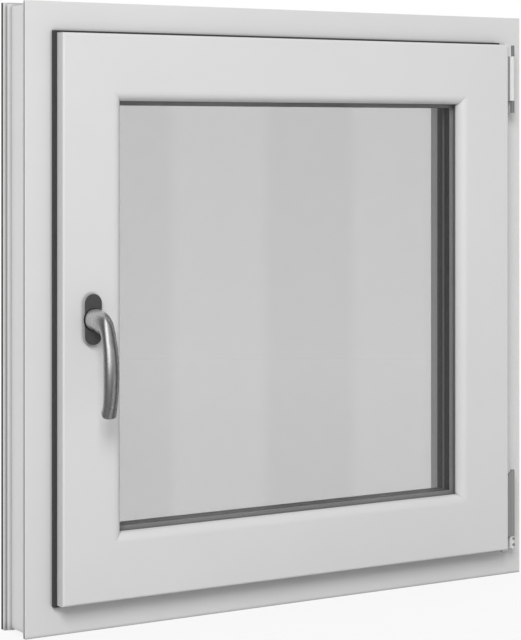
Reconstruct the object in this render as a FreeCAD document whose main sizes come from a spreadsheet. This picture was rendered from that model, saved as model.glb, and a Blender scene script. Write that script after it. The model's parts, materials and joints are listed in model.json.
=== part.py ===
import FreeCAD, Part
import math
import os
import Sketcher

# Tilt and turn window, closed: a fixed frame, a sash with triple glass, the hinge side on the right
# as seen from the room, and a lever handle on the left.
# The window's own frame: +X right as seen from the room, +Y towards the outside, +Z up.
# The origin is the middle of the narrow foot that runs along the underside of the sill.
# A section is drawn as (inset, depth): inset is measured inwards from the window's outer edge,
# depth from the room-side face of the fixed frame towards the outside.

SIZES = {
    # overall
    "window_width": 800.0,
    "window_height": 810.0,
    "frame_depth": 70.0,
    # fixed frame, room side
    "frame_face": 49.0,
    "face_plate": 1.2,
    "face_round": 0.7,
    "seam_depth": 2.2,
    "front_seam": 3.5,
    # fixed frame, outer channel that takes packers and fixings
    "channel_depth": 5.0,
    "channel_ramp": 12.5,
    "channel_floor": 33.0,
    "rib_height": 3.0,
    "rib_width": 6.0,
    "step_height": 1.0,
    "step_width": 4.0,
    "foot_width": 6.4,
    "rear_seam": 2.6,
    # fixed frame, outside leg
    "leg_reach": 20.0,
    "leg_thickness": 19.0,
    "leg_round": 3.0,
    # sash
    "sash_overlap": 8.5,
    "sash_air": 12.0,
    "cover_thickness": 16.7,
    "cover_gap": 9.0,
    "cover_round": 3.0,
    "sash_face": 66.0,
    "outer_seal_gap": 3.4,
    "groove_start": 7.0,
    "groove_width": 16.0,
    "groove_depth": 4.0,
    "sash_round": 2.5,
    # glazing bead and glass
    "bead_width": 20.4,
    "bead_round": 12.4,
    "bead_depth": 13.6,
    "bead_hook_height": 3.0,
    "bead_hook_width": 4.0,
    "bead_hook_start": 4.0,
    "gasket_thickness": 3.0,
    "gasket_height": 8.0,
    "gasket_lip": 0.5,
    "pane_thickness": 4.0,
    "cavity": 12.0,
    "glass_clearance": 5.0,
    "spacer_reveal": 5.3,
    "spacer_height": 8.0,
    "packer_length": 80.0,
    "packer_inset": 60.0,
    # seals between sash and frame
    "seal_lip": 3.2,
    "seal_foot": 6.0,
    "seal_round": 1.5,
    "outer_seal_width": 7.0,
    "outer_seal_inset": 1.0,
    # handle
    "handle_inset": 80.8,
    "handle_height": 404.0,
    "rose_width": 25.0,
    "rose_length": 66.5,
    "rose_thickness": 5.0,
    "rose_plate": 1.8,
    "rose_rim": 0.8,
    "collar_radius": 8.0,
    "collar_length": 4.0,
    "running_gap": 0.3,
    "neck_radius": 12.0,
    "neck_end_radius": 10.4,
    "neck_foot": 4.0,
    "neck_straight": 20.0,
    "neck_setback": 7.5,
    "neck_round": 6.0,
    "lever_reach": 47.0,
    "lever_drop": 120.0,
    "grip_width": 20.6,
    "grip_edge": 5.0,
    "grip_crown": 12.6,
    "grip_bow": 170.0,
    "grip_crest": 73.0,
    "grip_rise": 24.5,
    "grip_fall": 15.9,
    "tip_bevel": 2.2,
    "spindle_width": 7.0,
    "spindle_length": 34.0,
    "spindle_socket": 20.0,
    "bore_radius": 6.0,
    # hinge line
    "hinge_offset": 12.8,
    "hinge_depth": 18.0,
    "barrel_radius": 3.0,
    "pin_radius": 1.6,
    "bore_gap": 0.1,
    "end_gap": 0.3,
    # stay bearing, stay arm and sleeve at the top
    "bearing_drop": 41.0,
    "bearing_length": 97.5,
    "low_knuckle": 17.3,
    "high_knuckle": 15.6,
    "plate_thickness": 2.5,
    "plate_width": 15.0,
    "web_thickness": 4.0,
    "sleeve_radius": 3.1,
    "leaf_thickness": 2.0,
    "leaf_clearance": 1.5,
    "riser_width": 8.0,
    "arm_thickness": 2.5,
    "arm_length": 190.0,
    "arm_width": 20.0,
    "arm_seat": 0.3,
    "arm_tab": 3.0,
    "notch_gap": 1.0,
    # corner bearing and corner band at the bottom
    "band_low": 58.3,
    "bearing_height": 17.0,
    "bearing_width": 13.0,
    "bearing_skirt": 8.0,
    "bearing_arm_width": 8.0,
    "corner_pin_radius": 1.7,
    "corner_pin_length": 45.0,
    "band_length": 96.0,
    "band_radius": 3.1,
    "band_slope": 10.0,
    "band_thickness": 4.0,
    "band_tab_low": 70.0,
    "band_tab_height": 26.0,
    "tab_thickness": 2.5,
    "tab_reach": 20.0,
    # drain covers outside
    "drain_inset": 150.0,
    "drain_width": 42.0,
    "drain_height": 13.0,
    "drain_rise": 14.0,
    "drain_thickness": 4.0,
}


class Dim:
    # A size as a number together with the sheet expression that gives it.
    def __init__(self, text, value):
        self.text = text
        self.value = value

    def __add__(self, other):
        return combine(self, "+", other)

    def __radd__(self, other):
        return combine(other, "+", self)

    def __sub__(self, other):
        return combine(self, "-", other)

    def __rsub__(self, other):
        return combine(other, "-", self)

    def __mul__(self, other):
        return combine(self, "*", other)

    def __rmul__(self, other):
        return combine(other, "*", self)

    def __truediv__(self, other):
        return combine(self, "/", other)

    def __neg__(self):
        return combine(0, "-", self)


OPERATIONS = {
    "+": lambda first, second: first + second,
    "-": lambda first, second: first - second,
    "*": lambda first, second: first * second,
    "/": lambda first, second: first / second,
}


def as_dim(value):
    if isinstance(value, Dim):
        return value
    return Dim("(%r)" % float(value), float(value))


def combine(first, sign, second):
    first = as_dim(first)
    second = as_dim(second)
    text = "(%s %s %s)" % (first.text, sign, second.text)
    return Dim(text, OPERATIONS[sign](first.value, second.value))


class Sizes:
    # Every alias of the sheet as an attribute.
    def __init__(self, document, table):
        sheet = document.addObject("Spreadsheet::Sheet", "Sizes")
        for row, (alias, value) in enumerate(table.items(), 1):
            sheet.set("A%d" % row, alias)
            sheet.set("B%d" % row, repr(value))
            sheet.setAlias("B%d" % row, alias)
            setattr(self, alias, Dim("Sizes." + alias, value))


doc = FreeCAD.newDocument("TiltTurnWindow")
s = Sizes(doc, SIZES)
doc.recompute()
nodes = []

# Places that several pieces share, all worked out from the sheet.
half_width = s.window_width / 2
leg_front = s.frame_depth - s.leg_thickness
cover_edge = s.frame_face - s.sash_overlap
sash_side = s.frame_face + s.sash_air
sash_front = -(s.cover_gap + s.cover_thickness)
sash_back = leg_front - s.outer_seal_gap
bead_seam = cover_edge + s.sash_face
sight_line = bead_seam + s.bead_width
bead_back = sash_front + s.bead_depth
glass_front = bead_back + s.gasket_thickness
glass_edge = bead_seam + s.glass_clearance
glass_back = glass_front + s.pane_thickness * 3 + s.cavity * 2
outer_gasket_back = glass_back + s.gasket_thickness
spacer_edge = sight_line + s.spacer_reveal
foot_start = (s.face_plate + s.front_seam + s.channel_ramp + s.channel_floor
              + s.rib_width + s.step_width)
origin_depth = foot_start + s.foot_width / 2
handle_x = s.handle_inset - half_width
hinge_x = half_width - cover_edge + s.hinge_offset
hinge_y = -s.hinge_depth


def bind(item, path, size):
    item.setExpression(path, as_dim(size).text)


def place(item, x, y, z, angle=0.0, axis=(0, 0, 1)):
    # Puts an object at (x, y, z) of the window, y counted from the frame's room-side face.
    item.Placement = FreeCAD.Placement(FreeCAD.Vector(), FreeCAD.Rotation(FreeCAD.Vector(*axis), angle))
    bind(item, "Placement.Base.x", x)
    bind(item, "Placement.Base.y", as_dim(y) - origin_depth)
    bind(item, "Placement.Base.z", z)


def name_node(item, label):
    item.Label = label
    nodes.append(item)
    return item


def new_body(label):
    return name_node(doc.addObject("PartDesign::Body", "Body_" + label), label)


def new_sketch(body, name, role):
    sketch = body.newObject("Sketcher::SketchObject", body.Name + "_" + name)
    plane = [item for item in body.Origin.OriginFeatures if item.Role == role][0]
    sketch.AttachmentSupport = [(plane, "")]
    sketch.MapMode = "FlatFace"
    return sketch


def pin_point(sketch, edge, end, x, y):
    for kind, size in (("DistanceX", x), ("DistanceY", y)):
        size = as_dim(size)
        index = sketch.addConstraint(Sketcher.Constraint(kind, -1, 1, edge, end, size.value))
        sketch.setExpression("Constraints[%d]" % index, size.text)


def outline_edges(corners):
    # Turns corners into straight and round edges. A corner is (x, y), or (x, y, radius) where two
    # square sides meet and are rounded over.
    flat = [(as_dim(corner[0]), as_dim(corner[1])) for corner in corners]
    stops = []
    for index, corner in enumerate(corners):
        if len(corner) == 2:
            stops.append([flat[index]])
            continue
        neighbours = (flat[index - 1], flat[(index + 1) % len(flat)])
        stops.append([step_towards(flat[index], other, corner[2]) for other in neighbours])
    edges = []
    for index, corner in enumerate(corners):
        if len(corner) == 3:
            edges.append((stops[index][0], stops[index][1], flat[index], corner[2]))
        edges.append((stops[index][-1], stops[(index + 1) % len(stops)][0], None, None))
    return edges


def step_towards(corner, other, distance):
    way_x = (other[0].value > corner[0].value + 1e-6) - (other[0].value < corner[0].value - 1e-6)
    way_y = (other[1].value > corner[1].value + 1e-6) - (other[1].value < corner[1].value - 1e-6)
    return (corner[0] + distance * way_x, corner[1] + distance * way_y)


def point(place_2d):
    return FreeCAD.Vector(place_2d[0].value, place_2d[1].value, 0)


def draw_outline(sketch, corners):
    # Draws a closed outline whose every corner and radius is bound to the sheet.
    ends = []
    for start, finish, tip, radius in outline_edges(corners):
        if tip is None:
            edge = sketch.addGeometry(Part.LineSegment(point(start), point(finish)), False)
        else:
            centre = point(start) + point(finish) - point(tip)
            middle = centre + (point(tip) - centre) * math.sqrt(0.5)
            edge = sketch.addGeometry(Part.Arc(point(start), middle, point(finish)), False)
            index = sketch.addConstraint(Sketcher.Constraint("Radius", edge, radius.value))
            sketch.setExpression("Constraints[%d]" % index, radius.text)
        first = 1 if sketch.getPoint(edge, 1).distanceToPoint(point(start)) < 1e-6 else 2
        pin_point(sketch, edge, first, start[0], start[1])
        ends.append((edge, first, 3 - first))
    for here, after in zip(ends, ends[1:] + ends[:1]):
        sketch.addConstraint(Sketcher.Constraint("Coincident", here[0], here[2], after[0], after[1]))


def draw_rectangle(sketch, low_x, low_y, high_x, high_y):
    draw_outline(sketch, [(low_x, low_y), (high_x, low_y), (high_x, high_y), (low_x, high_y)])


def draw_circle(sketch, x, y, radius):
    x = as_dim(x)
    y = as_dim(y)
    radius = as_dim(radius)
    centre = FreeCAD.Vector(x.value, y.value, 0)
    edge = sketch.addGeometry(Part.Circle(centre, FreeCAD.Vector(0, 0, 1), radius.value), False)
    pin_point(sketch, edge, 3, x, y)
    index = sketch.addConstraint(Sketcher.Constraint("Radius", edge, radius.value))
    sketch.setExpression("Constraints[%d]" % index, radius.text)


def draw_stadium(sketch, radius, half_run):
    # Two half rounds of one radius, their centres half_run above and below the origin.
    for way in (1, -1):
        angles = (0, math.pi) if way == 1 else (math.pi, 2 * math.pi)
        centre = FreeCAD.Vector(0, way * half_run.value, 0)
        circle = Part.Circle(centre, FreeCAD.Vector(0, 0, 1), radius.value)
        edge = sketch.addGeometry(Part.ArcOfCircle(circle, *angles), False)
        pin_point(sketch, edge, 3, 0, half_run * way)
        pin_point(sketch, edge, 1, radius * way, half_run * way)
    for way in (1, -1):
        line = Part.LineSegment(FreeCAD.Vector(way * radius.value, -half_run.value, 0),
                                FreeCAD.Vector(way * radius.value, half_run.value, 0))
        sketch.addGeometry(line, False)
    for line, line_end, arc, arc_end in ((2, 1, 1, 2), (2, 2, 0, 1), (3, 1, 1, 1), (3, 2, 0, 2)):
        sketch.addConstraint(Sketcher.Constraint("Coincident", line, line_end, arc, arc_end))


def add_pad(body, sketch, length, reverse=False):
    pad = body.newObject("PartDesign::Pad", sketch.Name + "_pad")
    pad.Profile = sketch
    pad.Reversed = reverse
    bind(pad, "Length", length)
    return pad


def add_pocket(body, sketch, length, reverse=False, both_ways=False):
    pocket = body.newObject("PartDesign::Pocket", sketch.Name + "_pocket")
    pocket.Profile = sketch
    pocket.Reversed = reverse
    if both_ways:
        pocket.SideType = "Symmetric"
    bind(pocket, "Length", length)
    return pocket


# Mitred members. Each runs along its own Z from corner to corner of the window, with the inset
# along its X and the depth along its Y, and is turned about the depth into its place.
MEMBER_SIDES = {
    "left": (-half_width, 0, 0, s.window_height),
    "right": (half_width, s.window_height, 180, s.window_height),
    "top": (-half_width, s.window_height, 90, s.window_width),
    "bottom": (half_width, 0, -90, s.window_width),
}


def make_member(label, side, outline, widest):
    corner_x, corner_z, turn, length = MEMBER_SIDES[side]
    body = new_body(label)
    section = new_sketch(body, "section", "XY_Plane")
    draw_outline(section, outline)
    add_pad(body, section, length)
    mitres = new_sketch(body, "mitres", "XZ_Plane")
    reach = widest + s.frame_face
    draw_outline(mitres, [(0, 0), (reach, 0), (reach, reach)])
    draw_outline(mitres, [(0, length), (reach, length - reach), (reach, length)])
    add_pocket(body, mitres, s.frame_depth * 4, both_ways=True)
    place(body, corner_x, 0, corner_z, turn, (0, 1, 0))
    return body


def frame_outline():
    seam = s.face_plate + s.front_seam
    floor = seam + s.channel_ramp
    rib = floor + s.channel_floor
    step = rib + s.rib_width
    rear = foot_start + s.foot_width
    back = rear + s.rear_seam
    leg_end = s.frame_face + s.leg_reach
    rib_top = s.channel_depth - s.rib_height
    step_top = s.channel_depth - s.step_height
    return [
        (0, 0, s.face_round), (0, s.face_plate), (s.seam_depth, s.face_plate), (s.seam_depth, seam),
        (0, seam), (s.channel_depth, floor), (s.channel_depth, rib), (rib_top, rib), (rib_top, step),
        (step_top, step), (step_top, foot_start), (0, foot_start), (0, rear), (s.seam_depth, rear),
        (s.seam_depth, back), (0, back), (0, s.frame_depth), (leg_end, s.frame_depth, s.leg_round),
        (leg_end, leg_front, s.leg_round), (s.frame_face, leg_front), (s.frame_face, 0, s.face_round),
    ]


def sash_outline():
    groove = -s.cover_gap + s.groove_start
    groove_end = groove + s.groove_width
    groove_floor = sash_side + s.groove_depth
    hook = sash_front + s.bead_hook_start
    hook_end = hook + s.bead_hook_width
    hook_floor = bead_seam - s.bead_hook_height
    return [
        (cover_edge, sash_front, s.cover_round), (cover_edge, -s.cover_gap), (sash_side, -s.cover_gap),
        (sash_side, groove), (groove_floor, groove), (groove_floor, groove_end),
        (sash_side, groove_end), (sash_side, sash_back, s.sash_round),
        (sight_line, sash_back, s.sash_round), (sight_line, outer_gasket_back),
        (bead_seam, outer_gasket_back), (bead_seam, hook_end), (hook_floor, hook_end),
        (hook_floor, hook), (bead_seam, hook), (bead_seam, sash_front),
    ]


def bead_outline():
    hook = sash_front + s.bead_hook_start
    hook_end = hook + s.bead_hook_width
    hook_floor = bead_seam - s.bead_hook_height
    return [
        (bead_seam, sash_front), (sight_line, sash_front, s.bead_round), (sight_line, bead_back),
        (bead_seam, bead_back), (bead_seam, hook_end), (hook_floor, hook_end), (hook_floor, hook),
        (bead_seam, hook),
    ]


MEMBER_NAMES = {
    "top": ("frame_head", "sash_top_rail", "bead_top"),
    "bottom": ("frame_sill", "sash_bottom_rail", "bead_bottom"),
    "left": ("frame_jamb_lock", "sash_stile_lock", "bead_lock_side"),
    "right": ("frame_jamb_hinge", "sash_stile_hinge", "bead_hinge_side"),
}
members = {}
for side, (frame_name, sash_name, bead_name) in MEMBER_NAMES.items():
    members[frame_name] = make_member(frame_name, side, frame_outline(), s.frame_face + s.leg_reach)
    members[sash_name] = make_member(sash_name, side, sash_outline(), sight_line)
    members[bead_name] = make_member(bead_name, side, bead_outline(), sight_line)

# The handle's square spindle passes through a bore in the lock side stile.
bore = new_sketch(members["sash_stile_lock"], "bore", "XZ_Plane")
draw_circle(bore, s.handle_inset, s.handle_height, s.bore_radius)
add_pocket(members["sash_stile_lock"], bore, -sash_front, reverse=True)


# Rings that run round the window, square to it, from one inset to another.
def make_ring(label, outer, inner, front, thickness):
    body = new_body(label)
    section = new_sketch(body, "section", "XZ_Plane")
    for inset in (outer, inner):
        draw_rectangle(section, inset - half_width, inset, half_width - inset, s.window_height - inset)
    add_pad(body, section, thickness, reverse=True)
    place(body, 0, front, 0)
    return body


def make_pane(label, front):
    body = new_body(label)
    section = new_sketch(body, "section", "XZ_Plane")
    draw_rectangle(section, glass_edge - half_width, glass_edge,
                   half_width - glass_edge, s.window_height - glass_edge)
    add_pad(body, section, s.pane_thickness, reverse=True)
    place(body, 0, front, 0)


pane_pitch = s.pane_thickness + s.cavity
for number, label in enumerate(("pane_room_side", "pane_middle", "pane_outside")):
    make_pane(label, glass_front + pane_pitch * number)
for number, word in enumerate(("room_side", "outside")):
    spacer_front = glass_front + pane_pitch * number + s.pane_thickness
    bar_edge = spacer_edge - s.spacer_height
    make_ring("spacer_" + word, bar_edge, spacer_edge, spacer_front, s.cavity)
    make_ring("edge_seal_" + word, glass_edge, bar_edge, spacer_front, s.cavity)
gasket_edge = sight_line - s.gasket_height
make_ring("bead_gasket", gasket_edge, sight_line + s.gasket_lip, bead_back, s.gasket_thickness)
make_ring("outer_gasket", gasket_edge, sight_line + s.gasket_lip, glass_back, s.gasket_thickness)


# Seals with a rounded lip, swept round the window along a rectangle.
def make_seal(label, inset, outline):
    body = new_body(label)
    route = new_sketch(body, "route", "XZ_Plane")
    draw_outline(route, [
        (0, inset), (half_width - inset, inset), (half_width - inset, s.window_height - inset),
        (inset - half_width, s.window_height - inset), (inset - half_width, inset),
    ])
    section = new_sketch(body, "section", "YZ_Plane")
    draw_outline(section, outline)
    pipe = body.newObject("PartDesign::AdditivePipe", body.Name + "_pipe")
    pipe.Profile = section
    pipe.Spine = (route, [])
    pipe.Transition = "Right corner"
    place(body, 0, 0, 0)
    return body


sash_seal_edge = cover_edge - s.seal_lip
sash_seal = make_seal("sash_seal", cover_edge, [
    (-s.cover_gap, sash_seal_edge, s.seal_round), (0, sash_seal_edge, s.seal_round),
    (0, cover_edge + s.seal_foot), (-s.cover_gap, cover_edge + s.seal_foot),
])

leg_seal_edge = s.frame_face + s.leg_reach - s.outer_seal_inset
leg_seal_start = leg_seal_edge - s.outer_seal_width
make_seal("frame_seal", leg_seal_edge, [
    (sash_back, leg_seal_start, s.seal_round), (leg_front, leg_seal_start),
    (leg_front, leg_seal_edge), (sash_back, leg_seal_edge, s.seal_round),
])


# Plain blocks, rods and their unions, all bound to the sheet.
def make_box(name, low, size):
    box = doc.addObject("Part::Box", name)
    for side, length in zip(("Length", "Width", "Height"), size):
        bind(box, side, length)
    place(box, *low)
    return box


def make_rod(name, x, y, low, radius, length):
    rod = doc.addObject("Part::Cylinder", name)
    bind(rod, "Radius", radius)
    bind(rod, "Height", length)
    place(rod, x, y, low)
    return rod


def make_union(name, pieces):
    union = doc.addObject("Part::MultiFuse", name)
    union.Shapes = pieces
    union.Refine = True
    return union


def cut_away(label, base, tool):
    result = doc.addObject("Part::Cut", "Cut_" + label)
    result.Base = base
    result.Tool = tool
    return name_node(result, label)


# Packers that carry the glass on the bottom rail.
glass_end = half_width - glass_edge
for word, start in (("lock_side", s.packer_inset - glass_end),
                    ("hinge_side", glass_end - s.packer_inset - s.packer_length)):
    packer = make_box("Packer_" + word, (start, glass_front, bead_seam),
                      (s.packer_length, glass_back - glass_front, s.glass_clearance))
    name_node(packer, "glass_packer_" + word)


# Handle: rose with its dark front plate, and a lever cast with its neck.
def make_rose_layer(label, radius, front, thickness):
    body = new_body(label)
    section = new_sketch(body, "section", "XZ_Plane")
    draw_stadium(section, radius, (s.rose_length - s.rose_width) / 2)
    add_pad(body, section, thickness, reverse=True)
    bore_sketch = new_sketch(body, "bore", "XZ_Plane")
    draw_circle(bore_sketch, 0, 0, s.collar_radius + s.running_gap)
    add_pocket(body, bore_sketch, thickness, reverse=False)
    place(body, handle_x, front, s.handle_height)
    return body


rose_front = sash_front - s.rose_thickness
plate_front = rose_front - s.rose_plate
neck_base = plate_front - s.running_gap
make_rose_layer("handle_rose", s.rose_width / 2, rose_front, s.rose_thickness)
make_rose_layer("rose_plate", s.rose_width / 2 - s.rose_rim, plate_front, s.rose_plate)

# The lever is one casting: a round neck that turns in the rose, and a bowed grip of oval section.
grip_axis = s.grip_bow - s.lever_reach
grip_edge_place = s.grip_width / 2 - s.grip_edge


def draw_oval(sketch, y):
    # Two flat arcs front and back run smoothly into two tight arcs at the edges.
    flat_run = s.grip_crown.value - s.grip_edge.value
    sink = math.sqrt(flat_run ** 2 - grip_edge_place.value ** 2)
    lean = math.asin(grip_edge_place.value / flat_run)
    arcs = (
        (0, sink, s.grip_crown, 1.5 * math.pi, lean),
        (grip_edge_place, 0, s.grip_edge, 0, math.pi / 2 - lean),
        (0, -sink, s.grip_crown, 0.5 * math.pi, lean),
        (-grip_edge_place, 0, s.grip_edge, math.pi, math.pi / 2 - lean),
    )
    for x, rise, radius, middle, reach in arcs:
        centre = FreeCAD.Vector(as_dim(x).value, y.value + rise, 0)
        circle = Part.Circle(centre, FreeCAD.Vector(0, 0, 1), radius.value)
        edge = sketch.addGeometry(Part.ArcOfCircle(circle, middle - reach, middle + reach), False)
        index = sketch.addConstraint(Sketcher.Constraint("Radius", edge, radius.value))
        sketch.setExpression("Constraints[%d]" % index, radius.text)
        if rise == 0:
            pin_point(sketch, edge, 3, x, y)
    for here, after in ((0, 1), (1, 2), (2, 3), (3, 0)):
        sketch.addConstraint(Sketcher.Constraint("Tangent", here, 2, after, 1))


def make_lever():
    body = new_body("handle_lever")
    neck = new_sketch(body, "neck", "XY_Plane")
    neck_end = -s.lever_reach + s.neck_setback
    draw_outline(neck, [
        (0, s.collar_length), (0, neck_end), (s.neck_end_radius, neck_end, s.neck_round),
        (s.neck_end_radius, -s.neck_straight), (s.neck_radius, -s.neck_foot), (s.neck_radius, 0),
        (s.collar_radius, 0), (s.collar_radius, s.collar_length),
    ])
    neck_turn = body.newObject("PartDesign::Revolution", "Neck_turn")
    neck_turn.Profile = neck
    neck_turn.ReferenceAxis = (neck, ["V_Axis"])
    grip = new_sketch(body, "grip", "XY_Plane")
    grip.AttachmentOffset = FreeCAD.Placement(
        FreeCAD.Vector(0, grip_axis.value, -s.grip_crest.value), FreeCAD.Rotation())
    grip.setExpression("AttachmentOffset.Base.y", grip_axis.text)
    grip.setExpression("AttachmentOffset.Base.z", (-s.grip_crest).text)
    draw_oval(grip, -s.grip_bow)
    grip_turn = body.newObject("PartDesign::Revolution", "Grip_turn")
    grip_turn.Profile = grip
    grip_turn.ReferenceAxis = (grip, ["H_Axis"])
    grip_turn.Type = "TwoAngles"
    bind(grip_turn, "Angle", s.grip_fall)
    bind(grip_turn, "Angle2", s.grip_rise)
    doc.recompute()
    tip_edges = ["Edge%d" % number for number, edge in enumerate(grip_turn.Shape.Edges, 1)
                 if edge.BoundBox.ZMax < s.grip_edge.value - s.lever_drop.value]
    tip = body.newObject("PartDesign::Chamfer", "Tip_bevel")
    tip.Base = (grip_turn, tip_edges)
    bind(tip, "Size", s.tip_bevel)
    socket = new_sketch(body, "socket", "XZ_Plane")
    draw_rectangle(socket, -s.spindle_width / 2, -s.spindle_width / 2, s.spindle_width / 2,
                   s.spindle_width / 2)
    add_pocket(body, socket, s.spindle_socket * 2, both_ways=True)
    place(body, handle_x, neck_base, s.handle_height)


def make_spindle_box(name):
    start = neck_base - s.spindle_socket
    return make_box(name, (handle_x - s.spindle_width / 2, start, s.handle_height - s.spindle_width / 2),
                    (s.spindle_width, s.spindle_length, s.spindle_width))


make_lever()
name_node(make_spindle_box("Spindle"), "handle_spindle")

# Top hinge. The stay bearing is screwed to the frame; the leaf and the stay arm belong to the sash.
cover_x = half_width - cover_edge
cover_top = s.window_height - cover_edge
bearing_top = s.window_height - s.bearing_drop
bearing_low = bearing_top - s.bearing_length
low_knuckle_top = bearing_low + s.low_knuckle
high_knuckle_low = bearing_top - s.high_knuckle
leaf_low = low_knuckle_top + s.end_gap
leaf_high = high_knuckle_low - s.end_gap
hinge_bore = s.pin_radius + s.bore_gap


def make_stay_bearing():
    pieces = [make_box("Bearing_plate", (hinge_x - s.web_thickness, -s.plate_thickness, bearing_low),
                       (s.plate_width, s.plate_thickness, s.bearing_length))]
    for word, low, length in (("low", bearing_low, s.low_knuckle),
                              ("high", high_knuckle_low, s.high_knuckle)):
        pieces.append(make_rod("Knuckle_" + word, hinge_x, hinge_y, low, s.barrel_radius, length))
        pieces.append(make_box("Web_" + word, (hinge_x - s.web_thickness / 2, hinge_y, low),
                               (s.web_thickness, s.hinge_depth - s.plate_thickness / 2, length)))
    bore_rod = make_rod("Bearing_bore", hinge_x, hinge_y, bearing_low, hinge_bore, s.bearing_length)
    cut_away("stay_bearing", make_union("Bearing_union", pieces), bore_rod)


def make_stay_leaf():
    leaf_x = cover_x + s.leaf_clearance
    height = leaf_high - leaf_low
    leaf = make_box("Leaf_plate", (leaf_x, hinge_y - s.leaf_thickness / 2, leaf_low),
                    (hinge_x - leaf_x, s.leaf_thickness, height))
    eye = make_rod("Leaf_eye", hinge_x, hinge_y, leaf_low, s.sleeve_radius, height)
    bore_rod = make_rod("Leaf_bore", hinge_x, hinge_y, leaf_low, hinge_bore, height)
    cut_away("stay_leaf", make_union("Leaf_union", [leaf, eye]), bore_rod)


def make_stay_arm():
    # A flat steel arm that lies on the sash, passes behind the cover edge and rises round it.
    riser_x = cover_x + s.leaf_clearance
    riser_end = riser_x + s.riser_width
    riser_front = hinge_y - s.leaf_thickness / 2
    arm_low = s.window_height - sash_side + s.arm_seat
    strip_low = cover_top + s.arm_seat
    strip_top = strip_low + s.arm_thickness
    tab_x = cover_x - s.arm_tab
    tab_back = s.tab_thickness - s.cover_gap
    foot_x = half_width - sash_side
    frame_clear = half_width - s.frame_face - s.notch_gap
    pieces = [
        make_box("Arm_riser", (riser_x, riser_front, leaf_high),
                 (s.riser_width, s.leaf_thickness, strip_top - leaf_high)),
        make_box("Arm_strip", (tab_x, riser_front, strip_low),
                 (riser_end - tab_x, tab_back - riser_front, s.arm_thickness)),
        make_box("Arm_tab", (tab_x, -s.cover_gap, arm_low),
                 (s.arm_tab, s.tab_thickness, strip_top - arm_low)),
        make_box("Arm_foot", (foot_x, -s.cover_gap, arm_low),
                 (cover_x - foot_x, s.tab_thickness, s.arm_tab)),
        make_box("Arm_bar", (frame_clear - s.arm_length, -s.cover_gap, arm_low),
                 (s.arm_length, s.arm_width, s.arm_thickness)),
    ]
    return name_node(make_union("Arm_union", pieces), "stay_arm")


make_stay_bearing()
make_stay_leaf()
make_stay_arm()
stay_pin = make_rod("Stay_pin", hinge_x, hinge_y, bearing_low, s.pin_radius, s.bearing_length)
name_node(stay_pin, "stay_pin")

# Bottom hinge. The corner bearing on the frame carries a pin, and the band turns on it.
corner_bore = s.corner_pin_radius + s.bore_gap
bearing_foot = s.band_low - s.end_gap - s.bearing_height
bearing_skirt_low = bearing_foot - s.bearing_skirt


def make_corner_bearing():
    pieces = [
        make_box("Corner_plate", (hinge_x - s.bearing_width / 2, -s.plate_thickness, bearing_skirt_low),
                 (s.bearing_width, s.plate_thickness, s.bearing_height + s.bearing_skirt)),
        make_box("Corner_arm", (hinge_x - s.bearing_arm_width / 2, hinge_y, bearing_foot),
                 (s.bearing_arm_width, s.hinge_depth - s.plate_thickness / 2, s.bearing_height)),
        make_rod("Corner_eye", hinge_x, hinge_y, bearing_foot, s.band_radius, s.bearing_height),
    ]
    bore_rod = make_rod("Corner_bore", hinge_x, hinge_y, bearing_foot, corner_bore, s.bearing_height)
    cut_away("corner_bearing", make_union("Corner_union", pieces), bore_rod)


def make_corner_band():
    body = new_body("corner_band")
    half_thick = s.band_thickness / 2
    leaf = new_sketch(body, "leaf", "XZ_Plane")
    near = cover_x + s.end_gap - hinge_x
    draw_outline(leaf, [(near, 0), (0, 0), (0, s.band_length), (near, s.band_length - s.band_slope)])
    leaf_pad = add_pad(body, leaf, s.band_thickness)
    leaf_pad.SideType = "Symmetric"
    barrel = new_sketch(body, "barrel", "XY_Plane")
    draw_circle(barrel, 0, 0, s.band_radius)
    add_pad(body, barrel, s.band_length)
    tab_low = s.band_tab_low - s.band_low
    strap = new_sketch(body, "strap", "XY_Plane")
    tab_front = s.hinge_depth - s.cover_gap
    tab_back = tab_front + s.tab_thickness
    strap_end = near + s.tab_thickness
    draw_outline(strap, [
        (near, -half_thick), (strap_end, -half_thick), (strap_end, tab_back),
        (near - s.tab_reach, tab_back), (near - s.tab_reach, tab_front), (near, tab_front),
    ])
    strap.AttachmentOffset = FreeCAD.Placement(FreeCAD.Vector(0, 0, tab_low.value), FreeCAD.Rotation())
    strap.setExpression("AttachmentOffset.Base.z", tab_low.text)
    add_pad(body, strap, s.band_tab_height)
    bore_circle = new_sketch(body, "bore", "XY_Plane")
    draw_circle(bore_circle, 0, 0, corner_bore)
    add_pocket(body, bore_circle, s.band_length, reverse=True)
    place(body, hinge_x, hinge_y, s.band_low)


make_corner_bearing()
make_corner_band()
name_node(make_rod("Corner_pin", hinge_x, hinge_y, bearing_foot, s.corner_pin_radius,
                   s.bearing_height + s.corner_pin_length), "corner_pin")

# The sash seal stops where the stay arm and the band's strap pass behind the cover edge.
notches = new_sketch(sash_seal, "notches", "XZ_Plane")
seal_reach = s.seal_lip + s.notch_gap
foot_notch_x = cover_x - s.seal_foot - s.notch_gap
tab_notch_x = cover_x - s.arm_tab - s.notch_gap
notch_low = s.window_height - sash_side - s.notch_gap
foot_notch_top = notch_low + s.arm_seat + s.arm_tab + s.notch_gap * 2
draw_outline(notches, [
    (foot_notch_x, notch_low), (cover_x + seal_reach, notch_low),
    (cover_x + seal_reach, cover_top + seal_reach), (tab_notch_x, cover_top + seal_reach),
    (tab_notch_x, foot_notch_top), (foot_notch_x, foot_notch_top),
])
draw_rectangle(notches, foot_notch_x, s.band_tab_low - s.notch_gap,
               cover_x + seal_reach, s.band_tab_low + s.band_tab_height + s.notch_gap)
add_pocket(sash_seal, notches, s.frame_depth, both_ways=True)


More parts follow.
